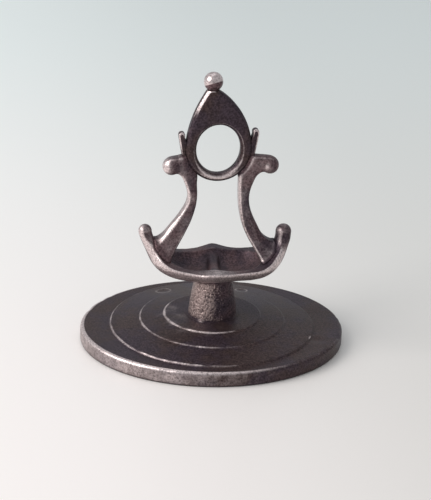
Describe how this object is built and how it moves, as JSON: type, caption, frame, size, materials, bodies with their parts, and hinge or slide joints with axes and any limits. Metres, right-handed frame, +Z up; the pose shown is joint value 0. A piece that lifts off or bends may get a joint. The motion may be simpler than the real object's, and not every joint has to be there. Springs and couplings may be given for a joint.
{
  "type": "wax seal stamp",
  "caption": "Hand seal with an oval stepped plate, a short neck, a boat-shaped finger rest with upturned horns and scroll arms that carry a pear-shaped crest with a cord eye.",
  "frame": {"origin": "middle of the plate's flat underside", "axes": "+Z up the handle, the plate's long axis and the handle's plane along X, the front of the handle towards -Y"},
  "size_m": [0.042, 0.0364, 0.044],
  "materials": {
    "tarnished_silver": "dark warm tarnish with bright worn edges",
    "polished_silver": "rubbed bright by handling, tarnished underneath",
    "rough_cast_silver": "rough cast, pitted",
    "solder": "bright, lumpy",
    "peg_silver": "turned, hidden"
  },
  "bodies": {
    "root": {"seal_plate": "tarnished_silver", "neck": "rough_cast_silver", "stem_peg": "peg_silver", "neck_solder_bead": "solder", "cradle": "tarnished_silver", "left_arm": "tarnished_silver", "right_arm": "tarnished_silver", "crest_ring": "tarnished_silver", "left_leaf": "tarnished_silver", "right_leaf": "tarnished_silver", "ball_finial": "polished_silver"}
  },
  "joints": []
}
